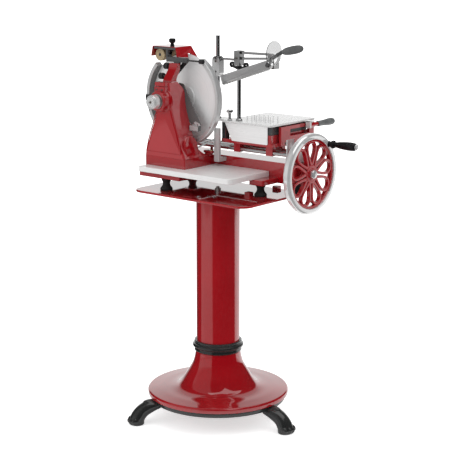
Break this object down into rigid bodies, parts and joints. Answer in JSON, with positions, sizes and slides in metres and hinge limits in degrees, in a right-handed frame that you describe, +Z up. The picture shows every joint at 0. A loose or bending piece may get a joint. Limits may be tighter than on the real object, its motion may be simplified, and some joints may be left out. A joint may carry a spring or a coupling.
{
  "type": "hand crank meat slicer",
  "caption": "Hand cranked flywheel slicer on a round pedestal: blade in a guard ring, sliding carriage with fed table and press, sharpener, crank wheel.",
  "frame": {"origin": "bottom centre of the bounding box, on the floor under the pedestal", "axes": "+X along the carriage stroke toward the flywheel, +Y away from the person who slices, +Z up"},
  "size_m": [0.7646, 0.674, 1.3188],
  "materials": {
    "red_enamel": "glossy red enamel",
    "black_casting": "black gloss paint",
    "steel": "machined",
    "dark_steel": "dark grey satin",
    "chrome": "polished",
    "stainless": "polished stainless",
    "rubber": "matt",
    "black_grip": "black satin",
    "grinding_stone": "coarse abrasive",
    "clear": "clear"
  },
  "bodies": {
    "stand_and_frame": {"pedestal_legs": "black_casting", "pedestal_bell": "red_enamel", "column_collar": "black_casting", "column_tube": "red_enamel", "pedestal_plate": "red_enamel", "tie_rod": "steel", "rubber_foot_back_left": "rubber", "rubber_foot_back_right": "rubber", "rubber_foot_front_left": "rubber", "rubber_foot_front_right": "rubber", "base_casting": "red_enamel", "slice_tray": "stainless", "tower_casting": "red_enamel", "wheel_bearing_left": "steel", "wheel_bearing_right": "steel", "blade_bearing_front": "steel", "blade_bearing_back": "steel", "blade_chain": "steel", "guard_ring": "chrome", "slice_deflector": "dark_steel", "guard_post": "chrome", "carriage_chain": "steel", "guide_rod_back": "chrome", "guide_rod_front": "chrome", "rod_support_left": "chrome", "rod_support_right": "chrome", "sharpener_neck": "red_enamel"},
    "flywheel": {"flywheel": "red_enamel", "wheel_shaft": "steel", "crank_pin": "chrome"},
    "crank_grip": {"crank_grip": "black_grip"},
    "cross_shaft": {"cross_shaft": "steel"},
    "chain_spindle": {"chain_spindle": "steel"},
    "idler_sprocket": {"idler_sprocket": "steel"},
    "blade": {"blade": "chrome", "blade_shaft": "steel", "axle_knob": "chrome"},
    "thickness_lever": {"thickness_lever": "red_enamel"},
    "carriage": {"carriage_saddle": "red_enamel", "front_panel": "stainless"},
    "feed_screw": {"feed_screw": "steel"},
    "meat_table": {"meat_table": "stainless", "press_post_tall": "chrome", "press_post_short": "chrome"},
    "table_knob": {"table_knob": "chrome"},
    "table_handle": {"table_handle": "black_grip"},
    "press": {"press_slider": "chrome"},
    "wing_nut": {"wing_nut": "black_grip"},
    "press_bar": {"press_bar": "chrome", "press_handle": "dark_steel", "hand_guard": "clear"},
    "sharpener": {"sharpener_body": "dark_steel", "sharpener_hood": "red_enamel"},
    "hood_knob": {"hood_knob": "black_grip"},
    "front_stone": {"front_stone": "grinding_stone"},
    "back_stone": {"back_stone": "grinding_stone"},
    "sharpener_lever": {"sharpener_lever": "black_grip"},
    "adjuster_knob": {"adjuster_knob": "black_grip"},
    "upper_neck_knob": {"upper_neck_knob": "black_grip"},
    "lower_neck_knob": {"lower_neck_knob": "black_grip"}
  },
  "joints": [
    {"name": "flywheel_spin", "type": "hinge", "parent": "stand_and_frame", "child": "flywheel", "pos_m": [0.25469, 0.07774, 0.876], "axis": [1, 0, 0], "continuous": true},
    {"name": "crank_grip_spin", "type": "hinge", "parent": "flywheel", "child": "crank_grip", "pos_m": [0.27629, 0.16596, 0.96736], "axis": [1, 0, 0], "continuous": true},
    {"name": "cross_shaft_spin", "type": "hinge", "parent": "stand_and_frame", "child": "cross_shaft", "pos_m": [-0.21731, 0.07774, 0.876], "axis": [0, 1, 0], "continuous": true},
    {"name": "chain_spindle_spin", "type": "hinge", "parent": "stand_and_frame", "child": "chain_spindle", "pos_m": [0.15969, 0.07774, 0.934], "axis": [0, 0, 1], "continuous": true},
    {"name": "idler_spin", "type": "hinge", "parent": "stand_and_frame", "child": "idler_sprocket", "pos_m": [-0.17531, 0.07774, 0.934], "axis": [0, 0, 1], "continuous": true},
    {"name": "blade_spin", "type": "hinge", "parent": "stand_and_frame", "child": "blade", "pos_m": [-0.21731, -0.00576, 1.103], "axis": [0, 1, 0], "continuous": true},
    {"name": "thickness_lever_turn", "type": "hinge", "parent": "stand_and_frame", "child": "thickness_lever", "pos_m": [-0.13331, 0.01274, 0.9086], "axis": [0, 0, 1], "range_deg": [-90, 90]},
    {"name": "carriage_stroke", "type": "slide", "parent": "stand_and_frame", "child": "carriage", "axis": [1, 0, 0], "range_m": [-0.2, 0.045]},
    {"name": "table_feed", "type": "slide", "parent": "carriage", "child": "meat_table", "axis": [0, 1, 0], "range_m": [0, 0.15]},
    {"name": "feed_screw_turn", "type": "hinge", "parent": "carriage", "child": "feed_screw", "pos_m": [0.04469, 0.02054, 0.998], "axis": [0, 1, 0], "range_deg": [0, 10800]},
    {"name": "table_knob_turn", "type": "hinge", "parent": "meat_table", "child": "table_knob", "pos_m": [-0.04531, 0.01974, 1.035], "axis": [0, 0, 1], "range_deg": [-180, 180]},
    {"name": "table_handle_turn", "type": "hinge", "parent": "meat_table", "child": "table_handle", "pos_m": [0.16019, 0.19704, 1.0175], "axis": [0, 1, 0], "range_deg": [0, 35]},
    {"name": "press_height", "type": "slide", "parent": "meat_table", "child": "press", "axis": [0, 0, 1], "range_m": [-0.07, 0.02]},
    {"name": "wing_nut_turn", "type": "hinge", "parent": "press", "child": "wing_nut", "pos_m": [-0.01831, 0.03674, 1.21], "axis": [0, 0, 1], "range_deg": [-35, 35]},
    {"name": "press_bar_tilt", "type": "hinge", "parent": "press", "child": "press_bar", "pos_m": [0.13469, -0.00206, 1.236], "axis": [0, 1, 0], "range_deg": [0, 18]},
    {"name": "sharpener_height", "type": "slide", "parent": "stand_and_frame", "child": "sharpener", "axis": [0, 0, 1], "range_m": [0, 0.02]},
    {"name": "hood_knob_turn", "type": "hinge", "parent": "sharpener", "child": "hood_knob", "pos_m": [-0.24881, -0.04326, 1.2788], "axis": [0, 0, 1], "range_deg": [-180, 180]},
    {"name": "front_stone_spin", "type": "hinge", "parent": "sharpener", "child": "front_stone", "pos_m": [-0.30091, -0.04926, 1.2475], "axis": [0, 1, 0], "continuous": true},
    {"name": "back_stone_spin", "type": "hinge", "parent": "sharpener", "child": "back_stone", "pos_m": [-0.26791, -0.00276, 1.2433], "axis": [0, 1, 0], "continuous": true},
    {"name": "sharpener_lever_swing", "type": "hinge", "parent": "sharpener", "child": "sharpener_lever", "pos_m": [-0.17531, -0.05326, 1.2365], "axis": [0, 1, 0], "range_deg": [-8, 15]},
    {"name": "adjuster_knob_turn", "type": "hinge", "parent": "sharpener", "child": "adjuster_knob", "pos_m": [-0.16501, -0.05856, 1.2365], "axis": [1, 0, 0], "range_deg": [-180, 180]},
    {"name": "upper_neck_knob_turn", "type": "hinge", "parent": "stand_and_frame", "child": "upper_neck_knob", "pos_m": [-0.23111, -0.07156, 1.214], "axis": [1, 0, 0], "range_deg": [-90, 90]},
    {"name": "lower_neck_knob_turn", "type": "hinge", "parent": "stand_and_frame", "child": "lower_neck_knob", "pos_m": [-0.23111, -0.09826, 1.182], "axis": [1, 0, 0], "range_deg": [-90, 90]}
  ],
  "couplings": [
    {"joint": "cross_shaft_spin", "follows": "flywheel_spin", "ratio": 1},
    {"joint": "chain_spindle_spin", "follows": "flywheel_spin", "ratio": -1},
    {"joint": "idler_spin", "follows": "flywheel_spin", "ratio": -1},
    {"joint": "blade_spin", "follows": "flywheel_spin", "ratio": 2},
    {"joint": "feed_screw_turn", "follows": "table_feed", "rad_per_m": 1256.6}
  ]
}
